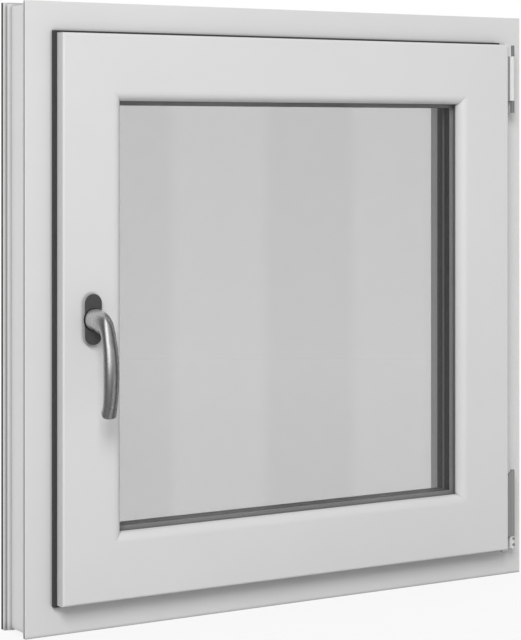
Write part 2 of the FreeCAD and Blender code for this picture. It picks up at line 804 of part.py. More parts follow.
# Hoods over the sill's drain slots, outside.
def make_drain_cover(label, start):
    body = new_body(label)
    section = new_sketch(body, "section", "YZ_Plane")
    draw_outline(section, [
        (0, 0), (s.drain_thickness, 0), (s.drain_thickness, s.drain_height - s.drain_thickness),
        (0, s.drain_height),
    ])
    add_pad(body, section, s.drain_width)
    place(body, start, s.frame_depth, s.drain_rise)


make_drain_cover("drain_cover_lock_side", s.drain_inset - half_width)
make_drain_cover("drain_cover_hinge_side", half_width - s.drain_inset - s.drain_width)

doc.recompute()
for item in doc.Objects:
    if "Invalid" in item.State or "Error" in item.State:
        raise RuntimeError("%s failed: %s" % (item.Name, item.State))
for node in nodes:
    if node.Shape.isNull() or not node.Shape.isValid():
        raise RuntimeError("%s has no valid shape" % node.Label)
os.makedirs("parts", exist_ok=True)
for node in nodes:
    node.Shape.exportStep("parts/%s.step" % node.Label)
    print(node.Label, round(node.Shape.Volume / 1000, 1), "cm3", len(node.Shape.Solids))
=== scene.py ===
import json
import math

import bmesh
import bpy
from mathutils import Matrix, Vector


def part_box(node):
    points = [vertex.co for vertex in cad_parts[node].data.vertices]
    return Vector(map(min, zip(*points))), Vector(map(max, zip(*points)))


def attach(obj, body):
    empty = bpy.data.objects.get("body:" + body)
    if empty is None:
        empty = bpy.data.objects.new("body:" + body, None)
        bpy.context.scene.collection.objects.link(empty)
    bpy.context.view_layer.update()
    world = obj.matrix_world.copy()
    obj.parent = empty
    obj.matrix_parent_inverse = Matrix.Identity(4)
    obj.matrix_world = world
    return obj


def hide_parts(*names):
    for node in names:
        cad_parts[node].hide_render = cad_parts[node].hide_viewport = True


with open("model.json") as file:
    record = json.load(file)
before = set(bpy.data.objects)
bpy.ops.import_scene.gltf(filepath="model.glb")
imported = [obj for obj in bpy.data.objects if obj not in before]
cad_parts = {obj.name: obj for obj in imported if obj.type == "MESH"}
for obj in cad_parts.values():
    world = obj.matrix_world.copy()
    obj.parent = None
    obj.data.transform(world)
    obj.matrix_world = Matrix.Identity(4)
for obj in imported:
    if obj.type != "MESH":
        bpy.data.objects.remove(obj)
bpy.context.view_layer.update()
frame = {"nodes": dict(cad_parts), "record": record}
scene = bpy.context.scene
nodes = frame["nodes"]


# small helpers for building materials
def newMaterial(name):
    material = bpy.data.materials.new(name)
    material.use_nodes = True
    tree = material.node_tree
    tree.nodes.clear()
    output = tree.nodes.new("ShaderNodeOutputMaterial")
    shader = tree.nodes.new("ShaderNodeBsdfPrincipled")
    tree.links.new(shader.outputs["BSDF"], output.inputs["Surface"])
    return material, tree, shader


def outputOf(tree):
    return next(node for node in tree.nodes if node.bl_idname.startswith("ShaderNodeOutput"))


def feed(tree, socket, value):
    # a node's output is linked, and a number or a colour is set
    if isinstance(value, bpy.types.NodeSocket):
        tree.links.new(value, socket)
    elif isinstance(value, tuple):
        socket.default_value = (*value, 1)
    else:
        socket.default_value = value


def objectPlace(tree):
    return tree.nodes.new("ShaderNodeTexCoord").outputs["Object"]


def objectNormal(tree):
    return tree.nodes.new("ShaderNodeTexCoord").outputs["Normal"]


def stretched(tree, place, scale):
    mapping = tree.nodes.new("ShaderNodeMapping")
    mapping.inputs["Scale"].default_value = scale
    tree.links.new(place, mapping.inputs["Vector"])
    return mapping.outputs["Vector"]


def noise(tree, place, scale, detail=3.0, roughness=0.5):
    node = tree.nodes.new("ShaderNodeTexNoise")
    node.inputs["Scale"].default_value = scale
    node.inputs["Detail"].default_value = detail
    node.inputs["Roughness"].default_value = roughness
    tree.links.new(place, node.inputs["Vector"])
    return node.outputs["Fac"]


def rangeOf(tree, value, low, high, fromLow=0.3, fromHigh=0.7):
    node = tree.nodes.new("ShaderNodeMapRange")
    node.inputs["From Min"].default_value = fromLow
    node.inputs["From Max"].default_value = fromHigh
    node.inputs["To Min"].default_value = low
    node.inputs["To Max"].default_value = high
    tree.links.new(value, node.inputs["Value"])
    return node.outputs["Result"]


def blend(tree, kind, share, first, second):
    node = tree.nodes.new("ShaderNodeMix")
    node.data_type = kind
    feed(tree, node.inputs["A"], first)
    feed(tree, node.inputs["B"], second)
    feed(tree, node.inputs["Factor"], share)
    return node.outputs["Result"]


def blendColors(tree, share, first, second):
    return blend(tree, "RGBA", share, first, second)


def blendNumbers(tree, share, first, second):
    return blend(tree, "FLOAT", share, first, second)


def oneAxis(tree, place, axis):
    node = tree.nodes.new("ShaderNodeSeparateXYZ")
    tree.links.new(place, node.inputs["Vector"])
    return node.outputs[axis]


def mathOf(tree, operation, *values):
    node = tree.nodes.new("ShaderNodeMath")
    node.operation = operation
    for socket, value in zip(node.inputs, values):
        feed(tree, socket, value)
    return node.outputs["Value"]


def shadeCorners(tree, color, reach, look):
    # painted shade: the colour is darkened where two faces meet, by ambient occlusion
    corners = tree.nodes.new("ShaderNodeAmbientOcclusion")
    corners.samples = look["cornerSamples"]
    tree.links.new(reach, corners.inputs["Distance"])
    factor = rangeOf(tree, corners.outputs["AO"], look["cornerShade"], 1.0, *look["cornerOpenness"])
    node = tree.nodes.new("ShaderNodeVectorMath")
    node.operation = "SCALE"
    tree.links.new(color, node.inputs["Vector"])
    tree.links.new(factor, node.inputs["Scale"])
    return node.outputs["Vector"]


def bumpFrom(tree, height, depth):
    node = tree.nodes.new("ShaderNodeBump")
    node.inputs["Strength"].default_value = 1.0
    node.inputs["Distance"].default_value = depth
    tree.links.new(height, node.inputs["Height"])
    return node.outputs["Normal"]


def addTexture(tree, shader, grain, roughness, depth):
    tree.links.new(rangeOf(tree, grain, *roughness), shader.inputs["Roughness"])
    tree.links.new(bumpFrom(tree, grain, depth), shader.inputs["Normal"])


def above(tree, value, edge, softness):
    # one where the value is over the edge
    return rangeOf(tree, value, 0.0, 1.0, edge, edge + softness)


def below(tree, value, edge, softness):
    # one where it is under the edge
    return rangeOf(tree, value, 1.0, 0.0, edge, edge + softness)


# white plastic of the frame, sash and beads
whitePlastic = {
    "color": (0.745, 0.745, 0.743),
    "shade": (0.725, 0.726, 0.725),
    "edge": (0.575, 0.576, 0.575),  # painted shade: the left-facing cut side of the sash's overlap, beside the handle, made darker than its front
    "shadedSideFacing": (-0.97, -0.75),  # how squarely that side faces left, from all of it to none
    "cornerShade": 0.34,  # brightness that is left in the tightest corner
    "cornerOpenness": (0.25, 0.85),  # from the tightest corner to an open face
    "cornerSamples": 8,
    "cornerReach": (0.006, 0.016),  # on the room side, and in the frame's outer channel
    "channelPlace": (0.006, 0.008),  # where the channel ends, from the frame's outside inwards
    "channelFront": (0.010, 0.012),  # and where it starts, behind the frame's room side
    "seam": (0.02, 0.02, 0.02),  # painted shade: the dark line in the seam groove along the frame's outside, next to its back face
    "seamPlace": (0.0003, 0.0050),  # its start and end from the back face
    "seamDepth": 0.0026,
    "seamSoftness": 0.0001,
    "roughness": (0.34, 0.44),
    "cloudScale": 6.0,
    "cloudDetail": 4.0,
    "grainScale": 900.0,
    "grainDetail": 2.0,
    "grainDepth": 0.000012,
    "refraction": 1.5,
}


def fromOutside(tree, place):
    # distance from the frame's outside inwards
    low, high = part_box("frame_sill")[0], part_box("frame_head")[1]
    across = mathOf(tree, "ABSOLUTE", oneAxis(tree, place, "X"))
    upward = mathOf(tree, "SUBTRACT", oneAxis(tree, place, "Z"), (low[2] + high[2]) / 2)
    upward = mathOf(tree, "ABSOLUTE", upward)
    toSide = mathOf(tree, "SUBTRACT", (high[0] - low[0]) / 2, across)
    toEnd = mathOf(tree, "SUBTRACT", (high[2] - low[2]) / 2, upward)
    return mathOf(tree, "MINIMUM", toSide, toEnd)


# painted shade that darkens the seam groove near the frame's back face
def paintSeamShade(tree, paint, depth, inwards, back):
    softness = whitePlastic["seamSoftness"]
    start, end = whitePlastic["seamPlace"]
    behind = above(tree, depth, back - end - softness, softness)
    before = below(tree, depth, back - start, softness)
    outer = below(tree, inwards, whitePlastic["seamDepth"], softness)
    seam = mathOf(tree, "MULTIPLY", mathOf(tree, "MULTIPLY", behind, before), outer)
    return blendColors(tree, seam, paint, whitePlastic["seam"])


def shadeReach(tree, depth, inwards, front):
    # how far off a face still shades a corner: more inside the outer channel
    inChannel = rangeOf(tree, inwards, 1.0, 0.0, *whitePlastic["channelPlace"])
    near, far = whitePlastic["channelFront"]
    pastFront = rangeOf(tree, depth, 0.0, 1.0, front + near, front + far)
    share = mathOf(tree, "MULTIPLY", inChannel, pastFront)
    return rangeOf(tree, share, *whitePlastic["cornerReach"], 0.0, 1.0)


def makeWhitePlastic(name, shadedSide):
    material, tree, shader = newMaterial(name)
    place = objectPlace(tree)
    low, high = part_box("frame_sill")
    inwards = fromOutside(tree, place)
    depth = oneAxis(tree, place, "Y")
    clouds = noise(tree, place, whitePlastic["cloudScale"], whitePlastic["cloudDetail"])
    tone = rangeOf(tree, clouds, 0.0, 1.0)
    paint = blendColors(tree, tone, whitePlastic["color"], whitePlastic["shade"])
    # painted shade on the faces of the sash's overlap that turn to the left
    if shadedSide:
        facing = oneAxis(tree, objectNormal(tree), "X")
        side = rangeOf(tree, facing, 1.0, 0.0, *whitePlastic["shadedSideFacing"])
        paint = blendColors(tree, side, paint, whitePlastic["edge"])
    paint = paintSeamShade(tree, paint, depth, inwards, high[1])
    # painted shade in the corners, reaching further inside the frame's outer channel
    reach = shadeReach(tree, depth, inwards, low[1])
    tree.links.new(shadeCorners(tree, paint, reach, whitePlastic), shader.inputs["Base Color"])
    tree.links.new(rangeOf(tree, clouds, *whitePlastic["roughness"]), shader.inputs["Roughness"])
    grain = noise(tree, place, whitePlastic["grainScale"], whitePlastic["grainDetail"])
    tree.links.new(bumpFrom(tree, grain, whitePlastic["grainDepth"]), shader.inputs["Normal"])
    shader.inputs["IOR"].default_value = whitePlastic["refraction"]
    return material


# black rubber of the seals and gaskets
sealRubber = {
    "color": (0.045, 0.045, 0.046),
    "shade": (0.03, 0.03, 0.031),
    "roughness": (0.5, 0.7),
    "grainScale": 1400.0,
    "grainDepth": 0.00002,
}


def makeSealRubber():
    material, tree, shader = newMaterial("sealRubber")
    place = objectPlace(tree)
    grain = noise(tree, place, sealRubber["grainScale"])
    paint = blendColors(tree, grain, sealRubber["color"], sealRubber["shade"])
    tree.links.new(paint, shader.inputs["Base Color"])
    addTexture(tree, shader, grain, sealRubber["roughness"], sealRubber["grainDepth"])
    return material


# clear glass with a light grey body
clearGlass = {
    "tint": (0.925, 0.925, 0.925),
    "mirror": (0.04, 1.0),  # straight on, and at the flattest slant
    "mirrorPower": 5.0,
    "haze": (0.0, 0.006),
    "hazeScale": 3.0,
    "hazeDetail": 2.0,
}


def makeClearGlass():
    material, tree, shader = newMaterial("clearGlass")
    tree.nodes.remove(shader)
    through = tree.nodes.new("ShaderNodeBsdfTransparent")
    through.inputs["Color"].default_value = (*clearGlass["tint"], 1)
    gloss = tree.nodes.new("ShaderNodeBsdfGlossy")
    clouds = noise(tree, objectPlace(tree), clearGlass["hazeScale"], clearGlass["hazeDetail"])
    tree.links.new(rangeOf(tree, clouds, *clearGlass["haze"]), gloss.inputs["Roughness"])
    # mirrors a little straight on and more at a slant, the same from either side
    facing = tree.nodes.new("ShaderNodeLayerWeight")
    facing.inputs["Blend"].default_value = 0.5
    slant = mathOf(tree, "POWER", facing.outputs["Facing"], clearGlass["mirrorPower"])
    mix = tree.nodes.new("ShaderNodeMixShader")
    tree.links.new(rangeOf(tree, slant, *clearGlass["mirror"], 0.0, 1.0), mix.inputs["Fac"])
    tree.links.new(through.outputs["BSDF"], mix.inputs[1])
    tree.links.new(gloss.outputs["BSDF"], mix.inputs[2])
    tree.links.new(mix.outputs["Shader"], outputOf(tree).inputs["Surface"])
    return material


# satin metal of the lever and the rose's rim
satinMetal = {
    "color": (0.55, 0.55, 0.547),
    "shade": (0.47, 0.47, 0.468),
    "roughness": (0.25, 0.33),
    "metallic": (0.55, 0.93),  # of the dull neck and rim, and of the polished grip
    "polishFrom": (0.016, 0.034),  # distance from the rose over which the one becomes the other
    "brushScale": (900.0, 900.0, 60.0),
    "brushRoughness": 0.6,
    "brushDepth": 0.0000007,
}


def makeSatinMetal():
    material, tree, shader = newMaterial("satinMetal")
    whole = objectPlace(tree)
    place = stretched(tree, whole, satinMetal["brushScale"])
    grain = noise(tree, place, 1.0, roughness=satinMetal["brushRoughness"])
    paint = blendColors(tree, rangeOf(tree, grain, 0.0, 1.0), satinMetal["color"], satinMetal["shade"])
    tree.links.new(paint, shader.inputs["Base Color"])
    addTexture(tree, shader, grain, satinMetal["roughness"], satinMetal["brushDepth"])
    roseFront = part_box("rose_plate")[0][1]
    start, end = satinMetal["polishFrom"]
    dull, polished = satinMetal["metallic"]
    polish = rangeOf(tree, oneAxis(tree, whole, "Y"), polished, dull, roseFront - end, roseFront - start)
    tree.links.new(polish, shader.inputs["Metallic"])
    return material


# the other plain finishes
plainFinishes = {
    # painted reflection: the rose's face gets the plain dark grey that its satin metal mirrors
    "roseDarkReflection": {
        "color": (0.075, 0.075, 0.076), "shade": (0.055, 0.055, 0.056), "roughness": (0.42, 0.55),
        "grainScale": 1600.0, "grainDepth": 0.00003, "metallic": 0.0,
    },
    "hingeGrey": {
        "color": (0.19, 0.19, 0.19), "shade": (0.16, 0.16, 0.16), "roughness": (0.4, 0.5),
        "grainScale": 1200.0, "grainDepth": 0.00001, "metallic": 0.0,
    },
    "bandGrey": {
        "color": (0.30, 0.30, 0.30), "shade": (0.27, 0.27, 0.27), "roughness": (0.4, 0.5),
        "grainScale": 1200.0, "grainDepth": 0.00001, "metallic": 0.0,
    },
    "gasketRubber": {
        "color": (0.17, 0.17, 0.17), "shade": (0.13, 0.13, 0.13), "roughness": (0.5, 0.65),
        "grainScale": 1400.0, "grainDepth": 0.00002, "metallic": 0.0,
    },
    # painted shade of the gap round the lever's neck
    "ringShadowBlack": {
        "color": (0.012, 0.012, 0.012), "shade": (0.008, 0.008, 0.008), "roughness": (0.5, 0.6),
        "grainScale": 1400.0, "grainDepth": 0.00002, "metallic": 0.0,
    },
    "darkScrew": {
        "color": (0.04, 0.04, 0.04), "shade": (0.03, 0.03, 0.03), "roughness": (0.35, 0.45),
        "grainScale": 1400.0, "grainDepth": 0.00001, "metallic": 0.5,
    },
    "hingeLight": {
        "color": (0.74, 0.74, 0.74), "shade": (0.7, 0.7, 0.7), "roughness": (0.35, 0.45),
        "grainScale": 1200.0, "grainDepth": 0.00001, "metallic": 0.0,
    },
    "edgeSealant": {
        "color": (0.02, 0.02, 0.02), "shade": (0.012, 0.012, 0.012), "roughness": (0.6, 0.8),
        "grainScale": 500.0, "grainDepth": 0.00004, "metallic": 0.0,
    },
    "packerPlastic": {
        "color": (0.12, 0.2, 0.3), "shade": (0.1, 0.17, 0.27), "roughness": (0.45, 0.6),
        "grainScale": 900.0, "grainDepth": 0.00002, "metallic": 0.0,
    },
}


def makePlainFinish(name, look):
    material, tree, shader = newMaterial(name)
    grain = noise(tree, objectPlace(tree), look["grainScale"])
    paint = blendColors(tree, rangeOf(tree, grain, 0.0, 1.0), look["color"], look["shade"])
    tree.links.new(paint, shader.inputs["Base Color"])
    addTexture(tree, shader, grain, look["roughness"], look["grainDepth"])
    shader.inputs["Metallic"].default_value = look["metallic"]
    return material


# spacer bars: a dark inner face, and painted light on the side towards the room, which is made paler
# though it is the same material
spacerBar = {
    "face": (0.02, 0.02, 0.021),
    "side": (0.34, 0.34, 0.34),
    "litSideFacing": (-0.9, -0.5),  # how squarely a face turns to the room, from all of it to none
    "roughness": (0.35, 0.5),
    "grainScale": 700.0,
    "grainDepth": 0.00001,
}


def makeSpacerBar():
    material, tree, shader = newMaterial("spacerBar")
    grain = noise(tree, objectPlace(tree), spacerBar["grainScale"])
    facing = oneAxis(tree, objectNormal(tree), "Y")
    # painted light: faces turned to the room get the paler colour
    litTowardsRoom = rangeOf(tree, facing, 1.0, 0.0, *spacerBar["litSideFacing"])
    paint = blendColors(tree, litTowardsRoom, spacerBar["face"], spacerBar["side"])
    tree.links.new(paint, shader.inputs["Base Color"])
    addTexture(tree, shader, grain, spacerBar["roughness"], spacerBar["grainDepth"])
    return material


# the upper hinge: light flanges and sleeve, darker barrels, and painted shade: a dark strip behind the
# sash edge, where the gap beside the sash is in shadow
hingeLeaf = {
    "flange": (0.76, 0.76, 0.76),
    "gapShade": (0.3, 0.3, 0.3),
    "gapShadeOffset": 0.0019,  # from the sleeve to the painted shade
    "softness": 0.0004,  # width over which one colour becomes the next
    "barrelDepth": 0.002,  # how far behind the axis the barrels' colour ends, and the webs' begins
    "barrel": {"stay_leaf": (0.76, 0.76, 0.76), "stay_bearing": (0.2, 0.2, 0.2)},
    "roughness": (0.35, 0.45),
    "grainScale": 1200.0,
    "grainDepth": 0.00001,
}


def makeHingeLeaf(node):
    material, tree, shader = newMaterial(node + "Finish")
    place = objectPlace(tree)
    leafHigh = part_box("stay_leaf")[1]
    pinLow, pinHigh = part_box("stay_pin")
    softness = hingeLeaf["softness"]
    axis = (pinHigh[0] + pinLow[0]) / 2
    barrelEdge = axis - (leafHigh[0] - axis)
    webFront = (pinLow[1] + pinHigh[1]) / 2 + hingeLeaf["barrelDepth"]
    across = oneAxis(tree, place, "X")
    grain = noise(tree, place, hingeLeaf["grainScale"])
    barrel = above(tree, across, barrelEdge - softness / 2, softness)
    inFront = below(tree, oneAxis(tree, place, "Y"), webFront - softness / 2, softness)
    barrel = mathOf(tree, "MULTIPLY", barrel, inFront)
    # painted shade of the gap between the sash edge and the hinge
    gapShade = below(tree, across, barrelEdge - hingeLeaf["gapShadeOffset"] - softness / 2, softness)
    paint = blendColors(tree, barrel, hingeLeaf["flange"], hingeLeaf["barrel"][node])
    paint = blendColors(tree, gapShade, paint, hingeLeaf["gapShade"])
    tree.links.new(paint, shader.inputs["Base Color"])
    addTexture(tree, shader, grain, hingeLeaf["roughness"], hingeLeaf["grainDepth"])
    return material


def dressNode(name, material):
    thing = nodes[name]
    if not thing.material_slots:
        thing.data.materials.append(material)
    for slot in thing.material_slots:
        slot.material = material


def dressWindow():
    metal = makeSatinMetal()
    plain = {name: makePlainFinish(name, look) for name, look in plainFinishes.items()}
    finishes = {
        "white_plastic": makeWhitePlastic("whitePlastic", False),
        "seal_rubber": makeSealRubber(),
        "pane": makeClearGlass(),
        "spacer_bar": makeSpacerBar(),
        "edge_sealant": plain["edgeSealant"],
        "packer_plastic": plain["packerPlastic"],
        "satin_metal": metal,
        "rose_grey": plain["roseDarkReflection"],
        "hinge_grey": plain["hingeGrey"],
        "hinge_light": plain["hingeLight"],
        "steel": metal,
    }
    for row in frame["record"]["subparts"]:
        dressNode(row["node"], finishes[row["material_slot"]])
    dressNode("sash_stile_lock", makeWhitePlastic("stilePlasticShadedSide", True))
    dressNode("corner_band", plain["bandGrey"])
    dressNode("bead_gasket", plain["gasketRubber"])
    for node in hingeLeaf["barrel"]:
        dressNode(node, makeHingeLeaf(node))
    print("finishes: done")


# the lever, a casting whose round neck turns down into a bowed grip
leverShape = {
    "axisDepth": 0.0120,  # of the neck's axis, below the top of the solid that the casting replaces
    "sink": 0.0003,  # of the neck's foot in the rose
    # along its middle: reach from the rose, drop below the neck, half width, half thickness, squareness
    "stops": (
        (0.0, 0.0, 0.0128, 0.0133, 2.0),
        (0.0100, -0.0002, 0.0123, 0.0136, 2.0),
        (0.0222, 0.0028, 0.0112, 0.0141, 2.0),
        (0.0312, 0.0069, 0.0101, 0.0118, 2.1),
        (0.0371, 0.0141, 0.0096, 0.0085, 2.2),
        (0.0407, 0.0235, 0.0096, 0.0074, 2.3),
        (0.0438, 0.0344, 0.0098, 0.0073, 2.3),
        (0.0464, 0.0524, 0.0103, 0.0072, 2.3),
        (0.0470, 0.0705, 0.0104, 0.0071, 2.3),
        (0.0461, 0.0884, 0.0100, 0.0068, 2.3),
        (0.0433, 0.1065, 0.0096, 0.0064, 2.4),
        (0.0394, 0.1182, 0.0103, 0.0066, 2.6),
    ),
    "tipSlant": 0.95,  # how far the end is cut at an angle
    "tipTurn": 0.02,  # length over which the section leans into that cut
    "tipRound": 0.0022,
    "probe": 0.0004,  # how far to either side the direction is measured
    "rings": 116,
    "tipRings": 8,
    "segments": 56,
}


def leverMarks():
    stops = leverShape["stops"]
    marks = [0.0]
    for before, after in zip(stops, stops[1:]):
        marks.append(marks[-1] + math.dist(before[:2], after[:2]))
    return marks


def steepness(marks, number, place):
    stops = leverShape["stops"]
    first, last = max(number - 1, 0), min(number + 1, len(stops) - 1)
    return (stops[last][place] - stops[first][place]) / (marks[last] - marks[first])


def leverRow(marks, travel):
    # a smooth curve through the stops
    number = max(index for index, mark in enumerate(marks[:-1]) if mark <= max(travel, 0.0))
    span = marks[number + 1] - marks[number]
    share = (travel - marks[number]) / span
    rest = 1 - share
    before, after = leverShape["stops"][number:number + 2]
    row = []
    for place in range(5):
        leave = steepness(marks, number, place) * span
        arrive = steepness(marks, number + 1, place) * span
        row.append(before[place] * (1 + 2 * share) * rest ** 2 + leave * share * rest ** 2
                   + after[place] * share ** 2 * (3 - 2 * share) - arrive * share ** 2 * rest)
    return row


def leverPlaces(whole, tip):
    # even steps along the lever, then finer ones round its tip
    rings, tipRings = leverShape["rings"], leverShape["tipRings"]
    places = [(whole - tip) * number / rings for number in range(rings)]
    for number in range(tipRings + 1):
        places.append(whole - tip * (1 - math.sin(number / tipRings * math.pi / 2)))
    return places


def leverRings():
    # reach, drop, lean, half width, half thickness and squareness of each ring
    marks = leverMarks()
    whole = marks[-1]
    tip = leverShape["tipRound"]
    probe = leverShape["probe"]
    cut = math.atan2(1.0, -leverShape["tipSlant"])
    for travel in leverPlaces(whole, tip):
        reach, drop, width, thickness, square = leverRow(marks, travel)
        behind, ahead = leverRow(marks, travel - probe), leverRow(marks, travel + probe)
        way = math.atan2(ahead[1] - behind[1], ahead[0] - behind[0])
        turned = min(max(1 - (whole - travel) / leverShape["tipTurn"], 0.0), 1.0)
        lean = way + (cut - way) * turned * turned * (3 - 2 * turned)
        past = max(1 - (whole - travel) / tip, 0.0)
        shrink = (math.sqrt(1 - past * past) - 1) * tip
        yield reach, drop, lean, width + shrink, (thickness + shrink) / math.cos(lean - way), square


def newPiece(name, build, finish, body):
    # a piece of the scene from a finished bmesh
    bmesh.ops.recalc_face_normals(build, faces=build.faces)
    mesh = bpy.data.meshes.new(name)
    build.to_mesh(mesh)
    build.free()
    mesh.materials.append(bpy.data.materials[finish])
    piece = bpy.data.objects.new(name, mesh)
    scene.collection.objects.link(piece)
    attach(piece, body)
    return piece


def makeLever():
    low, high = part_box("handle_lever")
    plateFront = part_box("rose_plate")[0][1]
    axisX = (low[0] + high[0]) / 2
    footY = plateFront - leverShape["sink"]
    axisZ = high[2] - leverShape["axisDepth"]
    segments = leverShape["segments"]
    build = bmesh.new()
    rings = []
    for reach, drop, lean, width, thickness, square in leverRings():
        ring = []
        for number in range(segments):
            around = 2 * math.pi * number / segments
            across, outward = math.cos(around), math.sin(around)
            size = (abs(across / width) ** square + abs(outward / thickness) ** square) ** (-1 / square)
            across, outward = across * size, outward * size
            place = (axisX + across, footY - reach - outward * math.sin(lean),
                     axisZ - drop + outward * math.cos(lean))
            ring.append(build.verts.new(place))
        rings.append(ring)
    for here, after in zip(rings, rings[1:]):
        for number in range(segments):
            following = (number + 1) % segments
            build.faces.new((here[number], here[following], after[following], after[number]))
    build.faces.new(tuple(reversed(rings[0])))
    build.faces.new(rings[-1])
    casting = newPiece("leverCasting", build, "satinMetal", "handle")
    casting.data.shade_smooth()
    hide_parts("handle_lever")
    makeNeckShadowRing(axisX, plateFront, axisZ)
    print("lever: done")


def makeTurned(name, profile, center, steps, finish):
    # a turned piece on an axis that faces the room; the profile is radius and rise
    build = bmesh.new()
    x, y, z = center
    corners = [build.verts.new((x + radius, y - rise, z)) for radius, rise in profile]
    edges = [build.edges.new(pair) for pair in zip(corners, corners[1:])]
    bmesh.ops.spin(build, geom=corners + edges, cent=center, axis=(0, 1, 0),
                   angle=2 * math.pi, steps=steps, use_merge=True)
    bmesh.ops.remove_doubles(build, verts=build.verts, dist=1e-6)
    newPiece(name, build, finish, "window")


# painted shade: a near-black ring behind the neck's foot, where the gap between the neck and the rose is
# in shadow
neckShadowRing = {
    "radius": 0.0145,
    "height": 0.0006,
    "edge": 0.0003,
    "segments": 72,
}


def makeNeckShadowRing(axisX, frontY, axisZ):
    radius, height, edge = neckShadowRing["radius"], neckShadowRing["height"], neckShadowRing["edge"]
    profile = (
        (0.0, 0.0), (radius, 0.0), (radius, height - edge), (radius - edge, height), (0.0, height),
    )
    center = (axisX, frontY, axisZ)
    makeTurned("neckShadowRing", profile, center, neckShadowRing["segments"], "ringShadowBlack")


# two dark grub screws in the front of the lower hinge's bearing
bearingScrews = {
    "radius": 0.0019,
    "socket": 0.0010,
    "depth": 0.0006,
    "rise": 0.00015,
    "heights": (0.30, 0.80),  # up the eye that the screws sit in, as a share of its length
    "segments": 24,
}


def makeBearingScrews():
    pinLow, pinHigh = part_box("corner_pin")
    eyeFront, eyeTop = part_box("corner_band")[0][1:]
    axisX = (pinLow[0] + pinHigh[0]) / 2
    foot = pinLow[2]
    radius, socket = bearingScrews["radius"], bearingScrews["socket"]
    depth, rise = bearingScrews["depth"], bearingScrews["rise"]
    profile = (
        (0.0, -depth), (radius, -depth), (radius, rise / 2), (radius - rise, rise), (socket, rise),
        (socket, -depth / 2), (0.0, -depth / 2),
    )
    for number, share in enumerate(bearingScrews["heights"], 1):
        center = (axisX, eyeFront, foot + (eyeTop - foot) * share)
        name = "bearingScrew" + str(number)
        makeTurned(name, profile, center, bearingScrews["segments"], "darkScrew")
    print("screws: done")


# floor, backdrop and light
studio = {
    "floorSize": 30.0,
    "floorColor": (0.64, 0.64, 0.64),
    "floorRoughness": 0.9,
    "floorWhite": (0.88, 1.0),  # share of plain white near the window and far from it
    "floorFade": (0.9, 3.2),
    "ambientFront": (0.06, 0.5),  # from the left and from the right
    "ambientAcross": (-0.7, 0.7),  # over which the one becomes the other
    "ambientBack": 1.35,
    "ambientDepth": (0.0, 0.6),  # over which the front becomes the back
    "keyPower": 500.0,
    "keySize": 3.6,
    "keyPlace": (-4.05, -5.55, 5.0),
    "aim": (0.0, 0.0, 0.4),
    # what metal and glass mirror: brightness by direction, degrees to the right of straight ahead
    "mirrorHigh": (
        (-180, 0.75), (-140, 0.45), (-112, 0.2), (-80, 0.08), (-58, 0.14), (-40, 0.9), (-26, 2.1),
        (-6, 2.1), (6, 1.1), (18, 0.6), (35, 0.4), (40, 0.03), (60, 0.03), (74, 0.4), (120, 0.5),
    ),
    "mirrorLow": (
        (-180, 0.5), (-137, 0.3), (-100, 0.14), (-73, 0.1), (-40, 0.12), (-14, 0.36), (0, 0.4),
        (13, 0.1), (26, 0.08), (29, 0.3), (36.9, 0.3), (37.1, 0.03), (60, 0.03), (75, 0.36), (124, 0.4),
    ),
    "mirrorFloor": (
        (-180, 0.5), (-137, 0.3), (-100, 0.2), (-73, 0.16), (-40, 0.16), (-14, 0.22), (0, 0.22),
        (13, 0.09), (26, 0.08), (29, 0.75), (36.9, 0.75), (37.1, 0.05), (60, 0.05), (75, 0.36),
        (124, 0.4),
    ),
    "mirrorLean": 13.0,  # degrees that the upper one is turned to the left from level to straight up
    "mirrorBreak": (-0.16, 0.16),  # height of the soft edge between the first two
    "floorBreak": (-0.18, 0.02),  # and between the last two
    "stripTurn": 4.8,  # degrees between the soft upright strips of light
    "stripFirst": 31.1,
    "stripLight": 0.3,
    "stripShape": (-0.25, 0.12),  # part of the wave over which a strip comes up
    "stripPlace": (27.0, 38.0),  # the part of the turn that has them
    "stripEdge": 0.72,  # degrees over which the first and last fade
}


def seenByEye(tree):
    # one for what the camera sees directly or through glass
    path = tree.nodes.new("ShaderNodeLightPath")
    return mathOf(tree, "MAXIMUM", path.outputs["Is Camera Ray"], path.outputs["Is Transmission Ray"])


def makeFloor():
    half = studio["floorSize"] / 2
    corners = [(-half, -half, 0), (half, -half, 0), (half, half, 0), (-half, half, 0)]
    mesh = bpy.data.meshes.new("floor")
    mesh.from_pydata(corners, [], [(0, 1, 2, 3)])
    floor = bpy.data.objects.new("floor", mesh)
    scene.collection.objects.link(floor)
    material, tree, shader = newMaterial("floorPaint")
    shader.inputs["Base Color"].default_value = (*studio["floorColor"], 1)
    shader.inputs["Roughness"].default_value = studio["floorRoughness"]
    white = tree.nodes.new("ShaderNodeEmission")
    distance = tree.nodes.new("ShaderNodeVectorMath")
    distance.operation = "LENGTH"
    tree.links.new(objectPlace(tree), distance.inputs[0])
    near, far = studio["floorWhite"]
    share = rangeOf(tree, distance.outputs["Value"], near, far, *studio["floorFade"])
    share.node.interpolation_type = "SMOOTHSTEP"
    paint = tree.nodes.new("ShaderNodeMixShader")
    tree.links.new(mathOf(tree, "MULTIPLY", share, seenByEye(tree)), paint.inputs["Fac"])
    tree.links.new(shader.outputs["BSDF"], paint.inputs[1])
    tree.links.new(white.outputs["Emission"], paint.inputs[2])
    tree.links.new(paint.outputs["Shader"], outputOf(tree).inputs["Surface"])
    material.cycles.emission_sampling = "NONE"  # the white is only for the eye, and lights nothing
    mesh.materials.append(material)
    floor.visible_glossy = False  # mirrors see the backdrop's low part in its place


